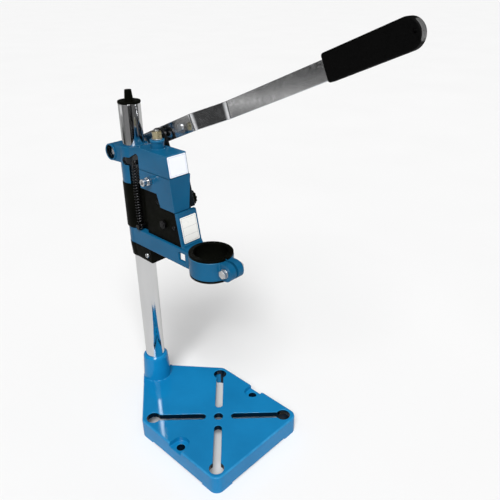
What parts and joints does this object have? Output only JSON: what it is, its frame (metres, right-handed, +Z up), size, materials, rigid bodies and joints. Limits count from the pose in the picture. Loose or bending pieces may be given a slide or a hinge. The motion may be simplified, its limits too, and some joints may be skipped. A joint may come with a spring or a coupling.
{
  "type": "drill stand",
  "caption": "Bench drill stand: slotted square base, chromed column, adjustable head and a hand lever that lowers a spring-returned carriage with a split collar for a drill's neck.",
  "frame": {"origin": "drilling axis at the underside of the base", "axes": "+Z up along the drilling axis, -Y towards the operator, +X towards the lever's side, column at +Y"},
  "size_m": [0.161, 0.395, 0.564],
  "materials": {
    "base_paint": "glossy bright blue enamel on a casting",
    "head_paint": "glossy blue enamel on a casting",
    "chrome": "polished chrome plate",
    "steel": "zinc-plated steel",
    "black_steel": "black oxide steel",
    "spring_wire": "black spring wire",
    "brass": "dull brass",
    "black_plastic": "matt black moulded plastic",
    "grip_rubber": "grained black rubber",
    "label": "bare white film"
  },
  "bodies": {
    "base": {"base_plate": "base_paint", "column_set_screw": "steel"},
    "column": {"column_tube": "chrome", "column_cap": "black_plastic"},
    "head": {"head_casting": "head_paint", "head_set_screw": "steel", "lever_pivot_pin": "steel", "pivot_ring": "steel", "pivot_spacer": "steel", "pivot_washer": "steel", "pivot_nut": "steel", "guide_rod": "steel", "rod_washer": "steel", "rod_nut": "brass", "rod_lock_screw": "steel", "rod_lock_nut": "steel", "spring_hook_pin": "black_steel", "return_spring": "spring_wire", "head_label": "label"},
    "knob": {"lock_knob": "black_plastic", "lock_stud": "steel"},
    "lever": {"lever_bar": "chrome", "lever_bush": "brass", "lever_grip": "grip_rubber", "lever_rivet": "steel", "drive_pin": "black_steel"},
    "carriage": {"carriage_casting": "head_paint", "guide_body": "black_plastic", "rod_bush": "brass", "lower_bush": "black_plastic", "bush_screws": "steel", "side_plate_left": "black_plastic", "side_plate_right": "black_plastic", "side_plate_screws": "black_steel", "drive_plate": "black_steel", "drive_spacers": "steel", "drive_bolts": "black_steel", "drive_bolt_nut": "black_steel", "spring_screw": "black_steel", "collar_liner": "black_plastic", "collar_bolt": "steel", "collar_nut": "steel", "collar_washers": "steel", "carriage_label": "label"}
  },
  "joints": [
    {"name": "column_turn", "type": "hinge", "parent": "base", "child": "column", "pos_m": [0, 0.14, 0], "axis": [0, 0, 1], "continuous": true},
    {"name": "head_height", "type": "slide", "parent": "column", "child": "head", "axis": [0, 0, 1], "range_m": [-0.1, 0.04]},
    {"name": "carriage_feed", "type": "slide", "parent": "head", "child": "carriage", "axis": [0, 0, -1], "range_m": [0, 0.055], "stiffness_N_per_m": 300, "springref_m": -0.12, "deforming": ["return_spring"]},
    {"name": "lever_turn", "type": "hinge", "parent": "head", "child": "lever", "pos_m": [0.03, 0.1667, 0.3876], "axis": [1, 0, 0], "range_deg": [0, 54.69]},
    {"name": "knob_turn", "type": "hinge", "parent": "head", "child": "knob", "pos_m": [0.02, 0.06, 0.3405], "axis": [1, 0, 0], "continuous": true}
  ],
  "couplings": [
    {"joint": "lever_turn", "follows": "carriage_feed", "rad_per_m": 17.355}
  ]
}
